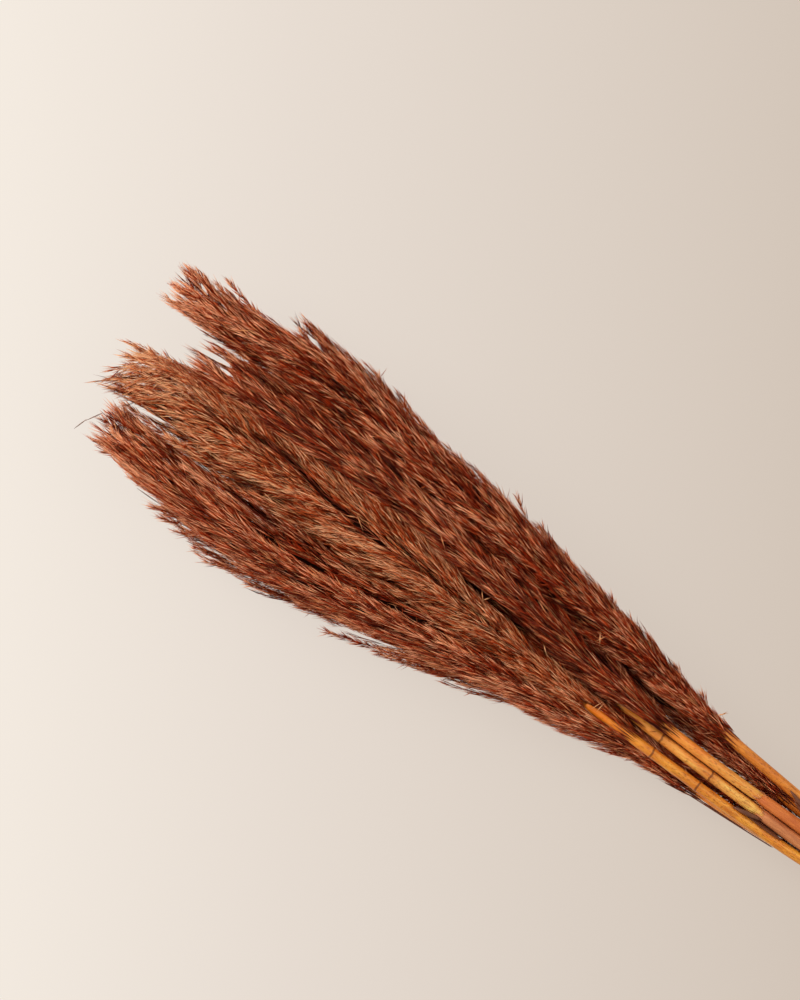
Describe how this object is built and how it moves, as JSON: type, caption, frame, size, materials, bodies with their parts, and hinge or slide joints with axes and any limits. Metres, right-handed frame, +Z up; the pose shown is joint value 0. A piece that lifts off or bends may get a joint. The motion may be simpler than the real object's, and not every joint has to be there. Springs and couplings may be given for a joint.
{
  "type": "bundle of dried pampas grass",
  "caption": "Bundle of dried, rust-brown pampas reeds lying flat: long feathery plumes fan out from yellow-orange ringed stems that a rubber band holds together.",
  "frame": {"origin": "under the middle of the bundle, on the surface that it lies on", "axes": "+X along the bundle towards the cut ends of the stems, +Z up, the plume tips at low X"},
  "size_m": [0.7458, 0.1575, 0.0848],
  "materials": {
    "culm": "smooth dried stem with a waxy shine",
    "sheath": "dry papery leaf sheath, finely ribbed",
    "leaf": "dry torn leaf, matte",
    "plume": "dyed feathery spikelets with a silky sheen",
    "pale_plume": "lighter dyed feathery spikelets with a silky sheen",
    "band": "natural rubber band, satin"
  },
  "bodies": {
    "root": {"culm_a": "culm", "plume_a": "pale_plume", "culm_b": "culm", "sheath_b": "sheath", "plume_b": "plume", "culm_c": "culm", "sheath_c": "sheath", "plume_c": "plume", "culm_d": "culm", "plume_d": "plume", "culm_e": "culm", "sheath_e": "sheath", "plume_e": "plume", "culm_f": "culm", "plume_f": "plume", "culm_g": "culm", "sheath_g": "sheath", "plume_g": "plume", "tie_band": "band", "leaf_strip_a": "leaf", "leaf_strip_f": "leaf"}
  },
  "joints": []
}
